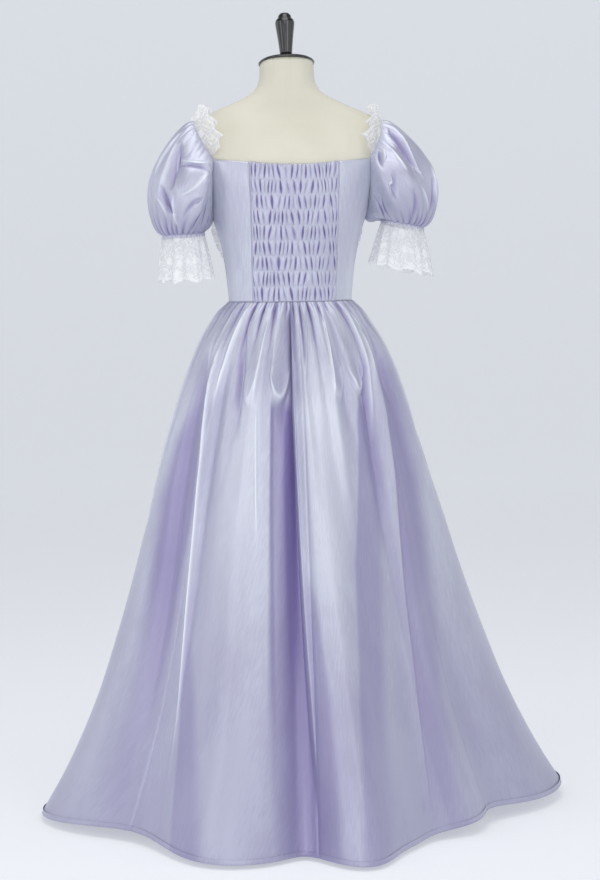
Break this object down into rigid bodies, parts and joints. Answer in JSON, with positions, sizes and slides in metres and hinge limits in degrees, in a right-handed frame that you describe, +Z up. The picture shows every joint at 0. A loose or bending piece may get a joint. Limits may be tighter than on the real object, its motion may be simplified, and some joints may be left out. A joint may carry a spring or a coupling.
{
  "type": "renaissance gown on a dress form",
  "caption": "Floor-length lavender satin gown with puff sleeves, lace frills, shirred back and gathered skirt, on a limbless dress form with a round foot.",
  "frame": {"origin": "middle of the stand foot's flat underside, on the floor", "axes": "+Z up along the pole; the wearer faces -Y, so the back of the gown faces +Y; the wearer's right is towards -X"},
  "size_m": [1.048, 0.9806, 1.5659],
  "materials": {
    "lavender_satin": "satin with a cool iridescent sheen",
    "white_lace": "matt net",
    "linen_cover": "matt",
    "black_lacquer": "gloss",
    "black_steel": "painted"
  },
  "bodies": {
    "root": {"form_torso": "linen_cover", "form_neck_cap": "black_lacquer", "form_finial": "black_lacquer", "stand_foot": "black_steel", "stand_pole": "black_steel", "bodice_back_shirred": "lavender_satin", "bodice_front": "lavender_satin", "bodice_back_left": "lavender_satin", "bodice_side_front_left": "lavender_satin", "bodice_back_right": "lavender_satin", "bodice_side_front_right": "lavender_satin", "sleeve_left": "lavender_satin", "cuff_lace_left": "white_lace", "sleeve_right": "lavender_satin", "cuff_lace_right": "white_lace", "neck_lace_left": "white_lace", "front_lace_left": "white_lace", "neck_lace_right": "white_lace", "front_lace_right": "white_lace", "neck_lace_front": "white_lace", "skirt_back_right": "lavender_satin", "skirt_side_right": "lavender_satin", "skirt_front": "lavender_satin", "skirt_side_left": "lavender_satin", "skirt_back_left": "lavender_satin"}
  },
  "joints": []
}
